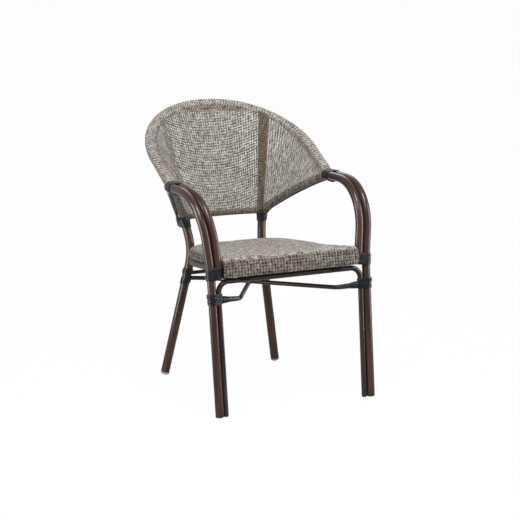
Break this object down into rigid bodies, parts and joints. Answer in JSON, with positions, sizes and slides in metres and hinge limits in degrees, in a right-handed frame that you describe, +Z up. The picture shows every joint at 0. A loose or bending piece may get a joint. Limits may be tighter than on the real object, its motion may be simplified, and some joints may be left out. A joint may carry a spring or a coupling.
{
  "type": "bistro armchair",
  "caption": "Stacking bistro armchair with a bent tube frame, a mesh tub back drawn over a hoop, a padded seat, crossed braces and wound bindings.",
  "frame": {"origin": "on the floor, under the middle of the chair's bounding box", "axes": "+Z up; the front of the chair faces -Y; +X is the viewer's right when looking at the front"},
  "size_m": [0.5794, 0.651, 0.8402],
  "materials": {
    "brown_frame": "bent tube in a glossy walnut-brown coat with fine lengthwise grain",
    "dark_frame": "bent tube in a satin black-brown coat",
    "stay_cord": "round charcoal cord, satin",
    "binding_strip": "flat wound plastic strip, blue-black, slight gloss",
    "back_mesh": "open outdoor mesh of pale grey-beige yarn with dark weft dots",
    "seat_fabric": "padded outdoor fabric, fine weave, pale grey-beige",
    "seat_band": "smooth taupe edge band",
    "seat_board": "plain sheet board",
    "saddle_rubber": "black rubber block",
    "dark_glide": "moulded plastic foot",
    "pale_glide": "moulded plastic foot"
  },
  "bodies": {
    "root": {"right_front_leg_tube": "brown_frame", "left_front_leg_tube": "brown_frame", "right_inner_arm_tube": "brown_frame", "left_inner_arm_tube": "brown_frame", "front_arch_tube": "dark_frame", "right_rear_leg_tube": "brown_frame", "left_rear_leg_tube": "brown_frame", "back_rim_tube": "brown_frame", "back_rail_tube": "brown_frame", "right_wing_tube": "brown_frame", "left_wing_tube": "brown_frame", "right_wing_stay": "stay_cord", "left_wing_stay": "stay_cord", "cross_brace_through": "dark_frame", "cross_brace_front_half": "dark_frame", "cross_brace_rear_half": "dark_frame", "right_brace_socket": "binding_strip", "left_brace_socket": "binding_strip", "rear_stretcher": "dark_frame", "rear_seat_rail": "dark_frame", "back_cover": "back_mesh", "seat_cushion": "seat_fabric", "seat_base": "seat_band", "seat_board": "seat_board", "right_front_saddle": "saddle_rubber", "left_front_saddle": "saddle_rubber", "right_rear_saddle": "saddle_rubber", "left_rear_saddle": "saddle_rubber", "right_front_foot": "dark_glide", "left_front_foot": "dark_glide", "right_arch_foot": "dark_glide", "left_arch_foot": "dark_glide", "right_rear_foot": "pale_glide", "left_rear_foot": "pale_glide", "right_arm_binding": "binding_strip", "left_arm_binding": "binding_strip", "right_upright_binding": "binding_strip", "left_upright_binding": "binding_strip", "right_seat_binding": "binding_strip", "left_seat_binding": "binding_strip", "right_brace_binding": "binding_strip", "left_brace_binding": "binding_strip", "right_rear_binding": "binding_strip", "left_rear_binding": "binding_strip"}
  },
  "joints": []
}
